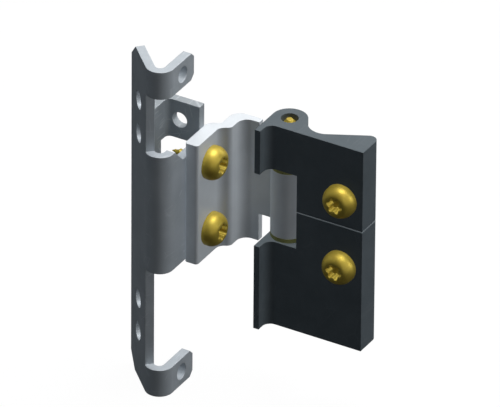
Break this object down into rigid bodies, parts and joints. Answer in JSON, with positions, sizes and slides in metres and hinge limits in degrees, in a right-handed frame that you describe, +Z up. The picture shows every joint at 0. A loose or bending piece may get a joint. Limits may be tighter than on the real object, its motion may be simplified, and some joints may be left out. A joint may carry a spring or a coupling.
{
  "type": "enclosure hinge",
  "caption": "Hinge for a cabinet door: a bent frame bracket and a cranked arm carry a black cast door leaf on a vertical pin.",
  "frame": {"origin": "midway between the two ear holes, on the ears' outer face", "axes": "+Z up along the pin, +X along the door leaf away from the pin, +Y out of the cabinet through the door"},
  "size_m": [0.0795, 0.0392, 0.1226],
  "materials": {
    "bracket_steel": "zinc plated sheet, satin",
    "arm_metal": "machined and tumbled, satin",
    "leaf_black": "black powder coat, satin",
    "screw_yellow": "yellow passivated",
    "pin_yellow": "yellow passivated, turned",
    "bush_bronze": "sintered bronze, dull"
  },
  "bodies": {
    "frame_side": {"frame_bracket": "bracket_steel", "fixing_lug": "bracket_steel", "hinge_arm": "arm_metal", "arm_screw_upper": "screw_yellow", "arm_screw_lower": "screw_yellow", "upper_bush": "bush_bronze", "lower_bush": "bush_bronze"},
    "door_side": {"upper_leaf": "leaf_black", "lower_leaf": "leaf_black", "hinge_pin": "pin_yellow", "leaf_screw_upper": "screw_yellow", "leaf_screw_lower": "screw_yellow"}
  },
  "joints": [
    {"name": "door_swing", "type": "hinge", "parent": "frame_side", "child": "door_side", "pos_m": [0.0275, 0.021, 0.0075], "axis": [0, 0, 1], "range_deg": [0, 130]}
  ]
}
